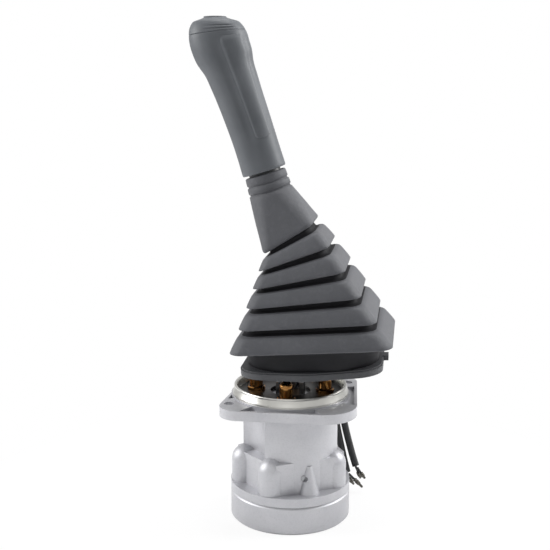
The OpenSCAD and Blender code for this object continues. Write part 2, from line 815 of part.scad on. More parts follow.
module boot_base_plate() {
    throat_mid = (throat_x[0] + throat_x[1]) / 2;
    throat_half = (throat_x[1] - throat_x[0]) / 2;
    plate_end = plate_corners[2][0] + plate_corners[2][2];
    color("darkslategray") difference() {
        plate_frame() {
            difference() {
                union() {
                    translate([0, 0, plate_bottom]) linear_extrude(base_plate_t - 1) plate_outline();
                    translate([0, 0, plate_top - 1]) linear_extrude(1) plate_outline(0.8);
                }
                translate([neck_mid, 0, neck_seat_z]) linear_extrude(20)
                    rounded_rect(neck_half + 0.1, neck_half_y + 0.1, neck_r + 0.1);
                translate([throat_mid, 0, plate_bottom - 1]) linear_extrude(20)
                    rounded_rect(throat_half, throat_half_y, throat_half_y - 4);
            }
            translate([plate_end - 1, 2, plate_bottom + 1]) cube([4, 9, base_plate_t - 1.5]);
        }
        plunger_relief();
    }
}

// ---------------------------------------------------------------- harness

// Both leave the underside of the boot's base plate
function exit_z(x) = plate_bottom + (x - 5) * tan(plate_tilt) - 0.02;
STRAND_1 = [
    [13.1, 37.4, exit_z(10.6)], [13.1, 37.4, 23], [14.1, 40, 19.5], [15.5, 43.6, 16],
    [17.3, 46.8, 11.5], [19.1, 48.6, 6], [21.1, 49.2, 0], [23.1, 48.9, -9], [25.2, 47.6, -19],
    [27.3, 45.8, -29], [29.7, 43.6, -39], [32, 41.2, -48], [34.1, 39.2, -56], [36.2, 37.6, -63]];
STRAND_2 = [
    [19.5, 37.4, exit_z(17)], [19.5, 37.4, 23], [20.8, 40, 19.5], [22.2, 43.6, 16],
    [23.6, 46.8, 11.5], [25, 48.7, 6], [26.4, 49.6, 0], [28.2, 49.6, -8], [30.2, 48.6, -17],
    [32.4, 47, -26.5], [34.8, 45, -36], [37.4, 42.8, -44.5], [39.8, 40.6, -52],
    [42.2, 38.8, -58.5]];

module harness_strand_1() {
    color("black") loft(path_rings(STRAND_1, strand_d / 2, 8));
}

module harness_strand_2() {
    color("black") loft(path_rings(STRAND_2, strand_d / 2, 8));
}

// A short wire tail that ends in a bullet terminal, swept along its points
module lead(path) {
    radii = [0.8, 0.8, 0.8, 1.5, 1.5, 1, 0.7];
    knots = [0, 0.25, 0.5, 0.52, 0.84, 0.86, 1];
    spine = [for (t = knots) mix(mix(path[0], path[1], t), mix(path[1], path[2], t), t)];
    frames = path_rings(spine, 1, 8);
    loft([for (j = [0:len(spine) - 1]) [for (p = frames[j]) mix(spine[j], p, radii[j])]]);
}

// Where a lead leaves the cut end of a strand
function tail(path, offset) =
    let (n = len(path) - 1, t = unit(path[n] - path[n - 1])) path[n] + 0.9 * t + offset;

module terminal_leads() {
    color("dimgray") {
        for (end = [[[0.9, -0.6, 0], [3.2, -1.2, -3.6], [49, 37.2, -67]],
                    [[-0.4, 1, 0], [1.2, 3.4, -5], [45.5, 43.5, -69.5]]])
            lead([tail(STRAND_2, end[0]), tail(STRAND_2, end[1]), end[2]]);
        for (end = [[[0.9, -0.6, 0], [4.2, -1.6, -2.6], [47.3, 36, -73.2]],
                    [[-0.4, 1, 0], [0.6, 3, -4.6], [40.8, 42.5, -74]]])
            lead([tail(STRAND_1, end[0]), tail(STRAND_1, end[1]), end[2]]);
    }
}

// ---------------------------------------------------------------- nodes

valve_body();
body_plug();
port_plate_seal();
port_plate();
port_plate_screws();
retainer_plate();
retainer_screws();
plunger_seals();
joint_base();
joint_cross();
joint_yoke();
swash_plate();
adjusting_nut();
lock_nut();
lever_rod();
boot_adapter();
grip_body();
grip_front_panel();
grip_cap();
thumb_button();
button_spring();
grip_switch();
boot();
boot_base_plate();
harness_strand_1();
harness_strand_2();
terminal_leads();
plunger_guide(0);  // plunger_guide_right
plunger_guide(90);  // plunger_guide_back
plunger_guide(180);  // plunger_guide_left
plunger_guide(270);  // plunger_guide_front
plunger(0);  // plunger_right
plunger(90);  // plunger_back
plunger(180);  // plunger_left
plunger(270);  // plunger_front
spring_seat(0);  // spring_seat_right
spring_seat(90);  // spring_seat_back
spring_seat(180);  // spring_seat_left
spring_seat(270);  // spring_seat_front
return_spring(0);  // return_spring_right
return_spring(90);  // return_spring_back
return_spring(180);  // return_spring_left
return_spring(270);  // return_spring_front
metering_spring(0);  // metering_spring_right
metering_spring(90);  // metering_spring_back
metering_spring(180);  // metering_spring_left
metering_spring(270);  // metering_spring_front
spool(0);  // spool_right
spool(90);  // spool_back
spool(180);  // spool_left
spool(270);  // spool_front
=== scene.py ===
"""Hydraulic pilot joystick: moulded grip, pleated rubber boot, cast valve body."""
import json
import math
from bisect import bisect_left

import bmesh
import bpy
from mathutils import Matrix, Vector
from mathutils.kdtree import KDTree


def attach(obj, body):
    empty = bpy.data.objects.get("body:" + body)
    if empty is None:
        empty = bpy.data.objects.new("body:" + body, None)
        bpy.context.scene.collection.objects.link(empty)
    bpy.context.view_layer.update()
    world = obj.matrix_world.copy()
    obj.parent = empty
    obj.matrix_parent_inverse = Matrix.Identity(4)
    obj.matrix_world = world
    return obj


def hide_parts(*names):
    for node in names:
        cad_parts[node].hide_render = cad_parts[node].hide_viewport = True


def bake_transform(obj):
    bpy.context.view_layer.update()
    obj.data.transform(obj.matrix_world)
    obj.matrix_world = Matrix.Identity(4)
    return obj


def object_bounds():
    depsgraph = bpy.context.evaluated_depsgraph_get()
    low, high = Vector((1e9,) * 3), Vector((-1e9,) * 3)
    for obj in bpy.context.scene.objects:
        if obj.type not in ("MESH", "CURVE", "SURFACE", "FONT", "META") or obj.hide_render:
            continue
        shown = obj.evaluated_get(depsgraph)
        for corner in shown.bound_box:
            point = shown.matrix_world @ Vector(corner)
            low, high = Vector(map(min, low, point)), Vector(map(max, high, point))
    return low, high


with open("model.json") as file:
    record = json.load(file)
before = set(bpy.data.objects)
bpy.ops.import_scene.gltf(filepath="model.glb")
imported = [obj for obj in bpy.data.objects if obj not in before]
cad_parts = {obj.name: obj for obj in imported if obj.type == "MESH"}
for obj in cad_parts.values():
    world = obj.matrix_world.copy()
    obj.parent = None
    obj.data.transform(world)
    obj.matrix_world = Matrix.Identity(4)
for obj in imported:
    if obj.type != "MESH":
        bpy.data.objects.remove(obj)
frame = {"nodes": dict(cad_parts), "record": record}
nodes = frame["nodes"]
cad_box = [[float(c) for c in corner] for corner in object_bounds()]

# Lengths are in millimetres, except in the camera and the studio, which are in metres
MM = 0.001
LEAN = math.radians(17.3)  # of the upper lever, to the left
BEND_Z = 98.0  # where the lever's bend is
GRIP_START = 58.0  # above the bend, along the lever
DISH_R = 34.6  # inside it the retainer plate takes a painted shade


def add(name, data):
    obj = bpy.data.objects.new(name, data)
    bpy.context.scene.collection.objects.link(obj)
    return obj


# ---------------------------------------------------------------- camera

def make_camera():
    data = bpy.data.cameras.new("camera")
    data.lens = 64.3
    data.sensor_width = 36
    data.clip_start = 0.01
    obj = add("camera", data)
    obj.location = (0.0773, -0.6243, 0.206)
    obj.rotation_euler = (math.radians(79.2), 0, math.radians(8))
    bpy.context.scene.camera = obj


make_camera()


# ---------------------------------------------------------------- shader nodes

def calculate(tree, operation, *values):
    """The result of a math node on values that are sockets or plain numbers."""
    node = tree.nodes.new("ShaderNodeMath")
    node.operation = operation
    for socket, value in zip(node.inputs, values):
        if isinstance(value, bpy.types.NodeSocket):
            tree.links.new(value, socket)
        else:
            socket.default_value = value
    return node.outputs[0]


def mix_shaders(tree, factor, first, second):
    node = tree.nodes.new("ShaderNodeMixShader")
    for socket, source in zip(node.inputs, (factor, first, second)):
        tree.links.new(source, socket)
    return node.outputs[0]


def glow(node, colour, strength):
    """What a background or emission node gives, set to one colour."""
    node.inputs["Color"].default_value = (*colour, 1)
    node.inputs["Strength"].default_value = strength
    return node.outputs[0]


def linear(hex_colour):
    """A colour written as #rrggbb, as the linear values that Blender takes."""
    out = []
    for i in (1, 3, 5):
        c = int(hex_colour[i:i + 2], 16) / 255
        out.append(c / 12.92 if c <= 0.04045 else ((c + 0.055) / 1.055) ** 2.4)
    return (*out, 1.0)


class Material:
    """A node material whose noise is laid out in the object's own metres."""

    def __init__(self, name):
        self.mat = bpy.data.materials.new(name)
        self.mat.use_nodes = True
        self.tree = self.mat.node_tree
        self.nodes, self.links = self.tree.nodes, self.tree.links
        self.shader = self.nodes["Principled BSDF"]
        self.place = self.nodes.new("ShaderNodeTexCoord").outputs["Object"]

    def put(self, values):
        for socket, value in values.items():
            self.shader.inputs[socket].default_value = value

    def noise(self, per_metre, detail=3.0, rough=0.55):
        tex = self.nodes.new("ShaderNodeTexNoise")
        for key, value in (("Scale", per_metre), ("Detail", detail), ("Roughness", rough)):
            tex.inputs[key].default_value = value
        self.links.new(self.place, tex.inputs["Vector"])
        return tex.outputs[0]

    def ramp(self, source, tones, at=(0.3, 0.7)):
        """From the first tone to the second, where the source lies between two levels."""
        node = self.nodes.new("ShaderNodeValToRGB")
        for element, level, tone in zip(node.color_ramp.elements, at, tones):
            element.position = level
            element.color = linear(tone)
        self.links.new(source, node.inputs["Fac"])
        return node.outputs["Color"]

    def spread(self, source, low, high, at=(0.3, 0.7)):
        """From low to high, where the source lies between two levels."""
        node = self.nodes.new("ShaderNodeMapRange")
        for key, value in zip(("From Min", "From Max", "To Min", "To Max"), (*at, low, high)):
            node.inputs[key].default_value = value
        self.links.new(source, node.inputs["Value"])
        return node.outputs["Result"]

    def over(self, factor, base, tone):
        """A colour with one tone laid over it."""
        node = self.nodes.new("ShaderNodeMix")
        node.data_type = "RGBA"
        self.links.new(factor, node.inputs["Factor"])
        self.links.new(base, node.inputs["A"])
        node.inputs["B"].default_value = linear(tone)
        return node.outputs["Result"]

    def wear(self, colour, worn, low, high):
        """Rubbed edges: the worn tone in patches where the surface is sharply convex."""
        point = self.nodes.new("ShaderNodeNewGeometry").outputs["Pointiness"]
        edge = self.spread(point, 0, 1, (low, high))
        patch = self.spread(self.noise(420), 0.1, 0.9, (0.4, 0.6))
        return self.over(calculate(self.tree, "MULTIPLY", edge, patch), colour, worn)

    def colour(self, source):
        self.links.new(source, self.shader.inputs["Base Color"])

    def roughness(self, source):
        self.links.new(source, self.shader.inputs["Roughness"])

    def bump(self, layers):
        """Layers of (height source, distance in mm), one on top of the other."""
        normal = None
        for source, distance in layers:
            node = self.nodes.new("ShaderNodeBump")
            node.inputs["Strength"].default_value = 1.0
            node.inputs["Distance"].default_value = distance * MM
            self.links.new(source, node.inputs["Height"])
            if normal is not None:
                self.links.new(normal, node.inputs["Normal"])
            normal = node.outputs["Normal"]
        if normal is not None:
            self.links.new(normal, self.shader.inputs["Normal"])

    def grain(self, *layers):
        """Bumps of noise, each (grains per metre, detail, distance in mm)."""
        self.bump([(self.noise(per_metre, detail), mm) for per_metre, detail, mm in layers])


# ---------------------------------------------------------------- materials

GRIP_TONES = ("#4f5256", "#5a5d61")
GRIP_GRAIN = ((1500, 2, 0.06), (420, 2, 0.03))
SPECULAR = "Specular IOR Level"


def plain(name, per_metre, tones, rough, grain=(), shader={}, detail=3):
    """Two tones in a soft cloud, which sets the roughness as well."""
    m = Material(name)
    cloud = m.noise(per_metre, detail)
    m.colour(m.ramp(cloud, tones))
    m.roughness(m.spread(cloud, *rough))
    m.grain(*grain)
    m.put(shader)
    return m.mat


def grip_plastic():
    m = Material("grip_plastic")
    cloud = m.noise(38, 3)
    m.colour(m.wear(m.ramp(cloud, GRIP_TONES), "#74787d", 0.54, 0.62))
    m.roughness(m.spread(cloud, 0.44, 0.54))
    m.grain(*GRIP_GRAIN)
    m.put({SPECULAR: 0.35})
    return m.mat


def dusty(name, clouds, tones, rough, dust, grain, shader={}):
    """Rubber: a plain cloud with dust, which is (specks per metre, most of it, tone)."""
    m = Material(name)
    cloud = m.noise(clouds, 4)
    base = m.ramp(cloud, tones, (0.28, 0.72))
    specks, most, tone = dust
    m.colour(m.over(m.spread(m.noise(specks, 4, 0.7), 0, most, (0.5, 0.75)), base, tone))
    m.roughness(m.spread(cloud, *rough))
    m.grain(*grain)
    m.put(shader)
    return m.mat


def cast_aluminium():
    m = Material("cast_aluminium")
    base = m.ramp(m.noise(45, 4), ("#b2b2b6", "#bcbcbf"))
    speck = m.noise(900, 3, 0.7)
    m.colour(m.over(m.spread(speck, 0, 0.25, (0.5, 0.72)), base, "#97979b"))
    m.roughness(m.spread(speck, 0.46, 0.52))
    m.put({"Metallic": 0.55})
    m.grain((380, 2, 0.025), (1300, 3, 0.05))
    return m.mat


def steel(name, tones, rough, bump_mm, per_metre):
    """Bare metal, whose one cloud sets the tone, the roughness and the bumps."""
    m = Material(name)
    cloud = m.noise(per_metre, 3, 0.6)
    m.colour(m.ramp(cloud, tones))
    m.roughness(m.spread(cloud, *rough))
    m.put({"Metallic": 1.0})
    m.bump([(cloud, bump_mm)])
    return m.mat


MATERIALS = {
    "grip_plastic": grip_plastic(),
    "grip_plastic_smooth": plain("grip_plastic_smooth", 55, GRIP_TONES, (0.44, 0.52), GRIP_GRAIN,
                                 {SPECULAR: 0.35}),
    "black_plastic": plain("black_plastic", 60, ("#1d1e20", "#292a2d"), (0.38, 0.52),
                           [(1500, 2, 0.03)]),
    "boot_rubber": dusty("boot_rubber", 30, ("#45464a", "#505155"), (0.55, 0.7),
                         (210, 0.18, "#6c6d71"), [(420, 3, 0.2), (1400, 2, 0.09)],
                         {"Sheen Weight": 0.08, "Sheen Roughness": 0.5, SPECULAR: 0.35}),
    # painted shade: near-black rubber for the shade that falls in the boot's neck and its deep
    # valleys
    "boot_painted_shade": plain("boot_painted_shade", 60, ("#1c1c1e", "#262629"), (0.7, 0.85),
                         shader={SPECULAR: 0.2}),
    "plate_rubber": dusty("plate_rubber", 40, ("#323336", "#3e3f42"), (0.5, 0.65),
                          (260, 0.2, "#5c5d61"), [(300, 3, 0.09), (1400, 2, 0.06)]),
    "black_rubber": plain("seal_rubber", 80, ("#161617", "#222224"), (0.5, 0.65),
                          [(1300, 2, 0.03)]),
    "harness_sleeve": plain("harness_sleeve", 120, ("#101113", "#1b1c1f"), (0.42, 0.6),
                            [(900, 3, 0.06)]),
    "cast_aluminium": cast_aluminium(),
    "polished_steel": steel("polished_steel", ("#b3b2ad", "#c9c8c3"), (0.26, 0.34), 0.0008, 60),
    "steel": steel("steel", ("#77787a", "#97989a"), (0.26, 0.4), 0.01, 500),
    "zinc_steel": steel("zinc_steel", ("#a3a7ac", "#c6cace"), (0.25, 0.38), 0.01, 420),
    "black_steel": steel("black_steel", ("#242528", "#36373a"), (0.3, 0.45), 0.012, 500),
    "brass": plain("brass", 150, ("#8a5f33", "#b98a52"), (0.14, 0.24), [(900, 2, 0.01)],
                   {"Metallic": 1.0}, detail=4),
    # painted shade: near-black for the shaded hollow inside the retainer plate's rim
    "painted_shade_dish": plain("painted_shade_dish", 70, ("#17120f", "#231d18"), (0.28, 0.42),
                       shader={"Metallic": 0.4}),
    "terminal_metal": steel("terminal_metal", ("#45433f", "#6e6b65"), (0.25, 0.4), 0.01, 700),
}


def dress(obj, material):
    obj.data.materials.clear()
    obj.data.materials.append(MATERIALS[material])


# Every CAD node takes the finish of its material slot
for entry in frame["record"]["subparts"]:
    dress(nodes[entry["node"]], entry["material_slot"])
dress(nodes["boot_base_plate"], "plate_rubber")

# The retainer plate is polished outside, and inside its rim it takes a painted shade, near-black,
# for the shade and dark reflection under the boot
dish = nodes["retainer_plate"]
dish.data.materials.append(MATERIALS["painted_shade_dish"])
for polygon in dish.data.polygons:
    corners = [dish.matrix_world @ dish.data.vertices[v].co for v in polygon.vertices]
    reach = max(math.hypot(*corner.xy) for corner in corners)
    polygon.material_index = int(reach < DISH_R * MM)


# ---------------------------------------------------------------- mesh helpers, in millimetres

def piece(name, points, faces, body, material):
    """A smooth mesh in one material, which rides on the body if there is one."""
    mesh = bpy.data.meshes.new(name)
    mesh.from_pydata([tuple(c * MM for c in p) for p in points], [], faces)
    mesh.validate()
    bm = bmesh.new()
    bm.from_mesh(mesh)
    bmesh.ops.remove_doubles(bm, verts=bm.verts, dist=1e-7)
    bmesh.ops.recalc_face_normals(bm, faces=bm.faces)
    bm.to_mesh(mesh)
    bm.free()
    obj = add(name, mesh)
    for polygon in mesh.polygons:
        polygon.use_smooth = True
    dress(obj, material)
    if body:
        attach(obj, body)
    return obj


def skin(rings, cap_first=False, cap_last=False):
    """Points and faces of a surface through rings of equal point counts."""
    n, last = len(rings[0]), len(rings) - 1
    points = [p for ring in rings for p in ring]
    faces = []
    for low in range(0, last * n, n):
        for i in range(n):
            k = (i + 1) % n
            faces.append((low + i, low + k, low + n + k, low + n + i))
    if cap_first:
        faces.append(tuple(range(n - 1, -1, -1)))
    if cap_last:
        faces.append(tuple(range(last * n, last * n + n)))
    return points, faces


def along_lever(x, y, h):
    """A point of the upper lever's own frame, h above the bend, in the shared frame."""
    c, s = math.cos(LEAN), math.sin(LEAN)
    return Vector((x * c - h * s, y, BEND_Z + x * s + h * c))


def spline(stations, at):
    """Values between stations by their first number, on a cubic through each of them."""
    xs = [row[0] for row in stations]
    k = max(0, min(len(xs) - 2, bisect_left(xs, at) - 1))
    before, after = stations[max(k - 1, 0)], stations[min(k + 2, len(xs) - 1)]
    x0, x1 = xs[k], xs[k + 1]
    t = (at - x0) / (x1 - x0)
    h = (2 * t**3 - 3 * t**2 + 1, t**3 - 2 * t**2 + t, -2 * t**3 + 3 * t**2, t**3 - t**2)
    out = []
    for c in range(1, len(stations[0])):
        p0, p1 = stations[k][c], stations[k + 1][c]
        m0 = (p1 - before[c]) / (x1 - before[0]) * (x1 - x0)
        m1 = (after[c] - p0) / (after[0] - x0) * (x1 - x0)
        out.append(h[0] * p0 + h[1] * m0 + h[2] * p1 + h[3] * m1)
    return out


def smoothstep(a, b, x):
    t = max(0.0, min(1.0, (x - a) / (b - a)))
    return t * t * (3 - 2 * t)


def between(first, second, t):
    return [a + (b - a) * t for a, b in zip(first, second)]


# ---------------------------------------------------------------- boot

# A ring of the boot is (centre x, centre z, tilt in degrees, half sizes in x and y, corner radius)
NECK_FROM = (15.82, 30.07, 3, 43, 37.5, 33.5)
NECK_TO = (16, 43, 4.2, 43, 37.5, 24)
SHOULDER = [(16.1, 43.4, 4.2, 44.0, 38.2, 20), (16.5, 44.4, 4.2, 47.8, 41.0, 13)]
NECK_AT = (0, 0.3, 0.6, 0.9)
NECK_RINGS = len(NECK_AT) + len(SHOULDER)
# Over one pleat: how far up it, and how much its half sizes shrink there
PLEAT = [(0.0, 1.5), (0.012, 0.7), (0.03, 0.2), (0.06, 0.0), (0.2, 0.05), (0.42, 0.4), (0.6, 0.85),
         (0.66, 1.3), (0.7, 2.1), (0.73, 3.4), (0.75, 4.9), (0.77, 6.0), (0.8, 6.3), (0.9, 6.3),
         (0.935, 6.1), (0.962, 5.0), (0.985, 3.0)]
VALLEY = 12  # where in PLEAT the valley is deepest
PLEATS = 5
SHALLOWER = 0.07  # how much less a pleat shrinks than the one below, as a share of the lowest
PAINTED_SHADE_FROM = 2.8  # the shrink from which a pleat takes the painted shade
# From the last lip to the collar: how far, and how much further in
SLEEVE = [(0, 1.5), (0.012, 0.6), (0.035, 0.1), (0.07, 0), (0.15, 0.1), (0.3, 0.1), (0.45, 0),
          (0.6, 0), (0.75, 0), (0.88, 0)]
# Up the collar, with its two grooves
COLLAR = [(0, 0), (0.25, 0.35), (0.45, 0.75), (0.9, 0.9), (1.35, 0.75), (1.6, 0.4), (1.9, 0.15),
          (3.5, 0.2), (5.2, 0.35), (5.5, 0.7), (5.75, 1.15), (6.2, 1.3), (6.65, 1.15), (6.9, 0.8),
          (7.2, 0.6), (9, 0.65), (11.2, 0.85), (11.6, 1.0), (11.9, 1.3), (12, 1.8)]
COLLAR_H = GRIP_START - 13.5  # above the bend, along the lever
COLLAR_R = 14.2
COLLAR_BORE = 11.1
WALL = 2.0
FOOT_WALL = 0.6  # the foot is thin inside, where the raised plunger passes it
CORNER_STEPS = 9
LOWER_FLEX, UPPER_FLEX = 27, 30  # what bends below and above the valley between the two skins
SAME_POINT = 0.01


def boot_ring(ring, inset):
    """The points of a rounded rectangle in a plane tilted about Y."""
    cx, cz, tilt, hw, hd, r = ring
    hw, hd = hw - inset, hd - inset
    r = min(max(r - inset, 0.8), hw, hd)
    tilt = math.radians(tilt)
    out = []
    for c in range(4):
        sx, sy = (1 if c in (0, 3) else -1), (1 if c < 2 else -1)
        for k in range(CORNER_STEPS + 1):
            a = math.radians(90 * c + 90 * k / CORNER_STEPS)
            x = sx * (hw - r) + r * math.cos(a)
            y = sy * (hd - r) + r * math.sin(a)
            out.append(Vector((cx + x * math.cos(tilt), y, cz + x * math.sin(tilt))))
    return out


def taper(u, shrink=0.0):
    """The boot's ring u pleats above the shoulder."""
    return [16.8 - 2.3 * u - 0.19 * u * u, 45 + 15.2 * u - 0.35 * u * u, 4.2 + 0.55 * u**2.45,
            51.5 - 8 * u + 0.3 * u * u - shrink, 44 - 4.3 * u - shrink, 9 - 0.6 * u]


def collar_ring(s):
    h = COLLAR_H + s
    return [-h * math.sin(LEAN), BEND_Z + h * math.cos(LEAN), math.degrees(LEAN),
            COLLAR_R, COLLAR_R, COLLAR_R]


def boot_rings():
    """The boot's outside from its neck to the top of its collar, each (ring, inset)."""
    out = [(between(NECK_FROM, NECK_TO, t), 0) for t in NECK_AT]
    out += [(ring, 0) for ring in SHOULDER]
    for i in range(PLEATS):
        out += [(taper(i + up, shrink * (1 - SHALLOWER * i)), 0) for up, shrink in PLEAT]
    out += [(between(taper(PLEATS), collar_ring(0), t**0.9), inset) for t, inset in SLEEVE]
    out += [(collar_ring(s), inset) for s, inset in COLLAR]
    return out


def painted_shade_points(outer):
    """A search tree of the points in the neck and in the deep part of each pleat, which take a
    painted shade.
    """
    deep = [NECK_RINGS + i * len(PLEAT) + k for i in range(PLEATS)
            for k, (_, shrink) in enumerate(PLEAT) if shrink > PAINTED_SHADE_FROM]
    points = [p for k in (*range(NECK_RINGS), *deep) for p in outer[k]]
    tree = KDTree(len(points))
    for i, p in enumerate(points):
        tree.insert(p, i)
    tree.balance()
    return tree


def make_boot():
    """Two skins that meet in a valley."""
    rings = boot_rings()
    outer = [boot_ring(ring, inset) for ring, inset in rings]
    inner = [boot_ring(ring, inset + (WALL if k else FOOT_WALL))
             for k, (ring, inset) in enumerate(rings)]
    # the collar is round inside
    for ring in inner[-len(COLLAR):]:
        centre = sum(ring, Vector()) / len(ring)
        for p in ring:
            p -= (p - centre).normalized() * ((p - centre).length - COLLAR_BORE)
    shade_tree = painted_shade_points(outer)
    split = NECK_RINGS + VALLEY
    x, z, tilt = rings[split][0][:3]
    centre = Vector((x, 0, z))
    up = Vector((-math.sin(math.radians(tilt)), 0, math.cos(math.radians(tilt))))
    lower = inner[split::-1] + outer[:split + 1]
    upper = outer[split:] + inner[:split - 1:-1]
    for name, shape, a, b, start, end in (
            ("boot_lower", lower, "valve", "cross", centre - LOWER_FLEX * up, centre),
            ("boot_upper", upper, "cross", "lever", centre, centre + UPPER_FLEX * up)):
        obj = piece(name, *skin(shape), None, "boot_rubber")
        obj.data.materials.append(MATERIALS["boot_painted_shade"])
        # faces in the neck and in the deep valleys take the painted shade
        for polygon in obj.data.polygons:
            corners = [obj.data.vertices[v].co / MM for v in polygon.vertices]
            dark = all(shade_tree.find(corner)[2] < SAME_POINT for corner in corners)
            polygon.material_index = int(dark)
        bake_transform(obj)
        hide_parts("boot")


make_boot()


# ---------------------------------------------------------------- springs

# The heights of the two ends of each spring
SPRING_ENDS = {"return": (-47, -16.25), "metering": (-35.87, -21.25)}
BUTTON_SPRING_ENDS = (138, 152.3)  # above the bend, along the lever


def make_spring(node, a, b, start, end):
    source = nodes[node]
    obj = add(node + "_coil", source.data.copy())
    obj.matrix_world = source.matrix_world.copy()
    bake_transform(obj)
    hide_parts(node)


for side in ("right", "back", "left", "front"):
    for kind, ends in SPRING_ENDS.items():
        make_spring(f"{kind}_spring_{side}", "valve", f"plunger_{side}",
                    *(Vector((0, 0, z)) for z in ends))
make_spring("button_spring", "lever", "button",
            *(along_lever(0, 0, h) for h in BUTTON_SPRING_ENDS))


# ---------------------------------------------------------------- grip

WAIST = 14.0
HEAD = 18.4 / 14  # the head's half width, in waists
# Up the grip: (height, shift to the left, half sizes in waists, slope of the ring in degrees)
GRIP = [
    (0, 0, 0.985, 0.985, 0), (1, 0, 1.01, 1.01, 0), (10, 0, 1, 1, 0), (22, 0.1, 1, 1.02, 0),
    (36, 0.5, 1.02, 1.05, 0), (50, 1.1, 1.05, 1.08, 0), (60, 1.6, 1.09, 1.12, 0),
    (68, 2.1, 0.16 + 0.74 * HEAD, 1.16, 0), (76, 2.9, 0.04 + 0.94 * HEAD, 1.2, 2),
    (83, 3.3, HEAD, 1.21, 5), (88, 3.1, HEAD, 1.2, 8), (91.5, 2.8, 0.97 * HEAD, 1.17, 11),
    (95, 2.3, 0.91 * HEAD, 1.09, 14), (98.5, 1.5, 0.76 * HEAD, 0.93, 16),
    (101, 0.9, 0.53 * HEAD, 0.68, 17), (102.5, 0.6, 0.22 * HEAD, 0.32, 17)]
SQUARENESS = 0.88  # 1 is an ellipse, and less is squarer
HOLE_X = -1.2
HOLE_R = 6.6
HOLE_H = 101.4
TOP_SLOPE = math.tan(math.radians(17))
ANGLES = [360 * i / 160 for i in range(160)]
CIRCLE = [(math.cos(math.radians(a)), math.sin(math.radians(a))) for a in ANGLES]
SOFT_HOLLOWS = ((272, 0.55), (338, 0.4))  # beside the front panel: angle and depth
HOLLOW_WIDTH = 7  # degrees
CAP_GROOVES = (93.3, 95.1)
GROOVE_WIDTH, GROOVE_DEPTH = 0.32, 0.42
GROOVE_ANGLE, GROOVE_REACH = 292, 30  # degrees


def grip_base(a, h):
    """The grip's own form at an angle (0 is +X, 90 the back) and a height, along the lever."""
    shift, hw, hd, turn = spline(GRIP, h)
    slope = math.radians(turn)
    c, s = math.cos(math.radians(a)), math.sin(math.radians(a))
    x = WAIST * hw * math.copysign(abs(c)**SQUARENESS, c) * math.cos(slope)
    y = WAIST * hd * math.copysign(abs(s)**SQUARENESS, s)
    # towards the top the form closes on the button's round hole
    t = smoothstep(98, HOLE_H, h)
    x = x * (1 - t) + t * (shift + HOLE_X + HOLE_R * c)
    y = y * (1 - t) + t * HOLE_R * s
    return Vector((x - shift, y, GRIP_START + h - x * math.tan(slope)))


def grip_normal(a, h):
    around = grip_base(a + 1.5, h) - grip_base(a - 1.5, h)
    up = grip_base(a, min(h + 0.8, HOLE_H)) - grip_base(a, max(h - 0.8, 0))
    return around.cross(up).normalized()


def grip_point(a, h, lift=0.0):
    p = grip_base(a, h) + lift * grip_normal(a, h)
    return along_lever(p.x, p.y, p.z)


def grip_ring(h, lift):
    """A ring round the grip, lifted by a number or by a function of angle and height."""
    return [grip_point(a, h, lift(a, h) if callable(lift) else lift) for a in ANGLES]


def round_ring(x, r, h, slope=0.0):
    """A circle round the lever's axis or round the button's hole."""
    return [along_lever(x + r * c, r * s, GRIP_START + h - slope * r * c) for c, s in CIRCLE]


def body_lift(a, h):
    """The soft hollow along each side of the front panel."""
    along = smoothstep(12, 30, h) * (1 - smoothstep(82, 90, h))
    return -along * sum(depth * math.exp(-((a - at) / HOLLOW_WIDTH)**2)
                        for at, depth in SOFT_HOLLOWS)


def cap_lift(a, h):
    """The two grooves over the front of the cap."""
    near = math.exp(-((a - GROOVE_ANGLE) / GROOVE_REACH)**4)
    return -near * GROOVE_DEPTH * sum(math.exp(-((h - at) / GROOVE_WIDTH)**2)
                                      for at in CAP_GROOVES)


def make_grip_body():
    heights = [0.35, 0.9, 1.6] + [2.5 + 1.5 * i for i in range(59)] + [90.6, 91.0, 91.25]
    rings = [round_ring(0, r, 0) for r in (6.7, 9.5, 12.4)]
    rings += [grip_ring(0.0, -0.5), grip_ring(0.1, -0.18)]
    rings += [grip_ring(h, body_lift) for h in heights]
    rings += [grip_ring(91.42, -0.14), grip_ring(91.45, -0.5)]
    body = piece("grip_shell", *skin(rings, cap_last=True), "lever", "grip_plastic")
    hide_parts("grip_body")


def make_grip_cap():
    heights = [91.75, 92.1] + [92.4 + 0.15 * i for i in range(24)]
    heights += [96.2 + 0.5 * i for i in range(9)] + [100.5, 100.8, 101.1]
    rings = [grip_ring(91.5, -0.6), grip_ring(91.56, -0.16)]
    rings += [grip_ring(h, cap_lift) for h in heights]
    # over the rim of the button's hole and down into it
    rings += [round_ring(HOLE_X, HOLE_R + wider, HOLE_H - down, TOP_SLOPE)
              for wider, down in ((0.25, 0), (0.05, 0.15), (0, 0.5))]
    rings.append(round_ring(HOLE_X, HOLE_R, HOLE_H - 6))
    cap = piece("grip_top", *skin(rings, cap_first=True), "lever", "grip_plastic")
    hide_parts("grip_cap")


PANEL_ANGLE = 304
PANEL_FOOT = 22.6  # at its corners; the middle is lower
PANEL_TOP = 90.6
PANEL_SUNK, PANEL_RISE = -0.5, 1.25


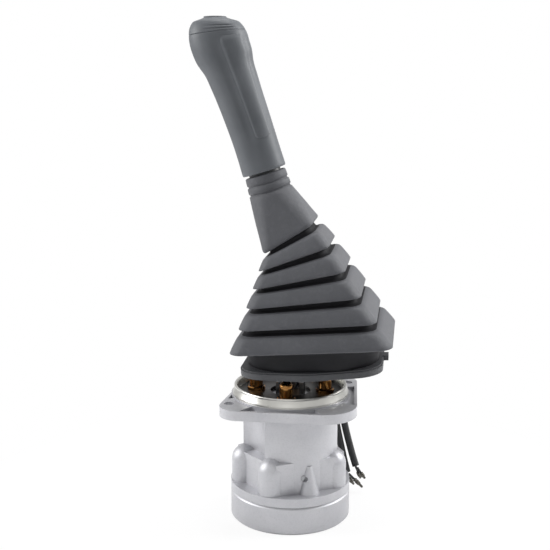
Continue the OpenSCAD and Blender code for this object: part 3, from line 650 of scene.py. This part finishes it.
def make_panel():
    """The soft-edged inlay: its long sides fade into the body, and its foot is a shallow U."""
    across, up = 44, 120
    points = []
    for j in range(up + 1):
        v = j / up
        for i in range(across + 1):
            u = 2 * i / across - 1
            foot = PANEL_FOOT - 2.6 * (1 - u * u)
            h = foot + (PANEL_TOP - foot) * v
            side = 1 - smoothstep(0.66, 1.0, abs(u))
            low = smoothstep(0.0, 0.7, h - foot)
            top = 1 - smoothstep(84, PANEL_TOP, h)
            lift = PANEL_SUNK + PANEL_RISE * side * low * top
            points.append(grip_point(PANEL_ANGLE + (26 + 3 * v) * u, h, lift))
    n = across + 1
    faces = [(j * n + i, j * n + i + 1, (j + 1) * n + i + 1, (j + 1) * n + i)
             for j in range(up) for i in range(across)]
    panel = piece("grip_inlay", points, faces, "lever", "grip_plastic_smooth")
    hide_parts("grip_front_panel")


# The thumb pad's radius and height, from the middle of its top to that of its underside
PAD = [(0, 0), (3.5, -0.1), (5.4, -0.35), (6.1, -0.7), (6.42, -1.3), (6.5, -2), (6.5, -5.4),
       (0, -5.4)]
PAD_H = 101.3
PAD_STEPS = 96


def make_button():
    turns = [2 * math.pi * i / PAD_STEPS for i in range(PAD_STEPS)]
    rings = []
    for r, z in PAD:
        # the top slopes with the grip's head, and the underside is square to the lever
        slope = TOP_SLOPE if z > -3 else 0
        rings.append([along_lever(r * math.cos(a) + HOLE_X, r * math.sin(a),
                                  GRIP_START + PAD_H + z - slope * r * math.cos(a))
                      for a in turns])
    top = piece("thumb_pad", *skin(rings), "button", "black_plastic")
    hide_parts("thumb_button")


make_grip_body()
make_grip_cap()
make_panel()
make_button()


# ---------------------------------------------------------------- harness

STRAND_R = 2.5
LEAD_OUT = 0.9  # how far beyond the strand's last point a lead starts
STRAND_1 = [
    (13.1, 37.4, 26.57), (13.1, 37.4, 23), (14.1, 40, 19.5), (15.5, 43.6, 16), (17.3, 46.8, 11.5),
    (19.1, 48.6, 6), (21.1, 49.2, 0), (23.1, 48.9, -9), (25.2, 47.6, -19), (27.3, 45.8, -29),
    (29.7, 43.6, -39), (32, 41.2, -48), (34.1, 39.2, -56), (36.2, 37.6, -63)]
STRAND_2 = [
    (19.5, 37.4, 26.91), (19.5, 37.4, 23), (20.8, 40, 19.5), (22.2, 43.6, 16), (23.6, 46.8, 11.5),
    (25, 48.7, 6), (26.4, 49.6, 0), (28.2, 49.6, -8), (30.2, 48.6, -17), (32.4, 47, -26.5),
    (34.8, 45, -36), (37.4, 42.8, -44.5), (39.8, 40.6, -52), (42.2, 38.8, -58.5)]


def cord_curve(name, route):
    data = bpy.data.curves.new(name, "CURVE")
    data.dimensions = "3D"
    data.bevel_depth = STRAND_R * MM
    data.bevel_resolution = 6
    data.resolution_u = 8
    data.use_fill_caps = True
    line = data.splines.new("NURBS")
    line.points.add(len(route) - 1)
    for point, place in zip(line.points, route):
        point.co = (*(c * MM for c in place), 1)
    line.use_endpoint_u = True
    line.order_u = 3
    obj = add(name, data)
    data.materials.append(MATERIALS["harness_sleeve"])
    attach(obj, "valve")
    return obj


def tail(route, offset):
    """Where a lead leaves the cut end of a strand."""
    end = Vector(route[-1])
    return end + LEAD_OUT * (end - Vector(route[-2])).normalized() + Vector(offset)


def tube_along(spine, radii, sides=20):
    """Rings of a tube that follows points, with its own radius at each."""
    turns = [2 * math.pi * i / sides for i in range(sides)]
    rings = []
    for j, (centre, r) in enumerate(zip(spine, radii)):
        t = (spine[min(j + 1, len(spine) - 1)] - spine[max(j - 1, 0)]).normalized()
        u = Vector((0, 1, 0)).cross(t).normalized()
        v = t.cross(u)
        rings.append([centre + r * (math.cos(a) * u + math.sin(a) * v) for a in turns])
    return rings


# How far along a lead, and the radius there, for the wire's cover and its crimped bullet terminal
WIRE = [(0, 0.8), (0.12, 0.8), (0.24, 0.8), (0.36, 0.8), (0.48, 0.8), (0.52, 0.78)]
BULLET = [(0.5, 0.85), (0.505, 1.35), (0.51, 1.5), (0.57, 1.5), (0.58, 1.28), (0.6, 1.22),
          (0.62, 1.28), (0.63, 1.5), (0.72, 1.5), (0.74, 1.4), (0.8, 1.4), (0.83, 1.15),
          (0.85, 0.95), (0.95, 0.9), (0.99, 0.75), (1, 0.5)]
# Of each lead: where it leaves the strand and how it bends, as offsets from the end, and its tip
LEADS_1 = [((0.9, -0.6, 0), (4.2, -1.6, -2.6), (47.3, 36, -73.2)),
           ((-0.4, 1, 0), (0.6, 3, -4.6), (40.8, 42.5, -74))]
LEADS_2 = [((0.9, -0.6, 0), (3.2, -1.2, -3.6), (49, 37.2, -67)),
           ((-0.4, 1, 0), (1.2, 3.4, -5), (45.5, 43.5, -69.5))]


def make_leads(name, route, ends):
    points, faces, slots = [], [], []
    for first, second, tip in ends:
        a, b, c = tail(route, first), tail(route, second), Vector(tip)
        for slot, form in enumerate((WIRE, BULLET)):
            spine = [(1 - t)**2 * a + 2 * t * (1 - t) * b + t * t * c for t, _ in form]
            tube = tube_along(spine, [r for _, r in form])
            more, quads = skin(tube, cap_first=True, cap_last=True)
            faces += [tuple(i + len(points) for i in face) for face in quads]
            slots += [slot] * len(quads)
            points += more
    obj = piece(name, points, faces, "valve", "harness_sleeve")
    obj.data.materials.append(MATERIALS["terminal_metal"])
    for polygon, slot in zip(obj.data.polygons, slots):
        polygon.material_index = slot
    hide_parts("terminal_leads")
    return obj


def make_harness():
    left = make_leads("leads_left", STRAND_1, LEADS_1)
    right = make_leads("leads_right", STRAND_2, LEADS_2)
    for name, node, route, leads in (("strand_left", "harness_strand_1", STRAND_1, left),
                                     ("strand_right", "harness_strand_2", STRAND_2, right)):
        obj = cord_curve(name, route)
        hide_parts(node)


make_harness()


# ---------------------------------------------------------------- studio, in metres

FLOOR_REACH = 6
WHITE = (1, 1, 1)
GLOSSY_SHARE = 0.75  # of the white surround, in what shiny surfaces reflect
AIM = Vector((0, 0, 0.05))
# Name, place, size and watts
LAMPS = (("right", (0.8, 0.3, 0.6), 0.5, 10), ("left", (-0.8, -0.1, 0.4), 0.5, 6.5),
         ("front", (0.0, -0.8, 0.7), 0.7, 0.9), ("top", (0.05, 0.1, 1.0), 0.5, 6))


def backdrop_material():
    """A plain floor that keeps the object's shadow, and to the camera fades to white."""
    m = Material("studio_floor")
    m.put({"Base Color": (0.9, 0.9, 0.9, 1), "Roughness": 0.8})
    away = m.nodes.new("ShaderNodeVectorMath")
    away.operation = "LENGTH"
    m.links.new(m.place, away.inputs[0])
    fade = m.spread(away.outputs["Value"], 0.86, 1, (0.08, 0.25))
    seen = m.nodes.new("ShaderNodeLightPath").outputs["Is Camera Ray"]
    surface = mix_shaders(m.tree, calculate(m.tree, "MULTIPLY", seen, fade), m.shader.outputs[0],
                          glow(m.nodes.new("ShaderNodeEmission"), WHITE, 1.0))
    m.links.new(surface, m.nodes["Material Output"].inputs["Surface"])
    return m.mat


def make_floor():
    z, reach = cad_box[0][2], FLOOR_REACH
    mesh = bpy.data.meshes.new("floor")
    mesh.from_pydata([(-reach, -reach, z), (reach, -reach, z), (reach, reach, z),
                      (-reach, reach, z)], [], [(0, 1, 2, 3)])
    mesh.materials.append(backdrop_material())
    floor = add("floor", mesh)


def make_world():
    """Dim light on the object, but white to the camera, and mostly white in reflections."""
    world = bpy.data.worlds.new("studio")
    bpy.context.scene.world = world
    world.use_nodes = True
    tree = world.node_tree
    dim = glow(tree.nodes["Background"], (0.97, 0.98, 1.0), 0.25)
    white = glow(tree.nodes.new("ShaderNodeBackground"), WHITE, 1.0)
    ray = tree.nodes.new("ShaderNodeLightPath").outputs
    seen = calculate(tree, "MAXIMUM", ray["Is Camera Ray"], ray["Is Transmission Ray"])
    share = calculate(tree, "MULTIPLY_ADD", ray["Is Glossy Ray"], GLOSSY_SHARE, seen)
    tree.links.new(mix_shaders(tree, share, dim, white),
                   tree.nodes["World Output"].inputs["Surface"])


def make_lamps():
    for name, place, size, watts in LAMPS:
        lamp = bpy.data.lights.new(name, "AREA")
        lamp.size = size
        lamp.energy = watts
        obj = add(name, lamp)
        obj.location = place
        obj.rotation_euler = (AIM - Vector(place)).to_track_quat("-Z", "Y").to_euler()


make_floor()
make_world()
make_lamps()
bpy.context.scene.view_settings.view_transform = "Standard"
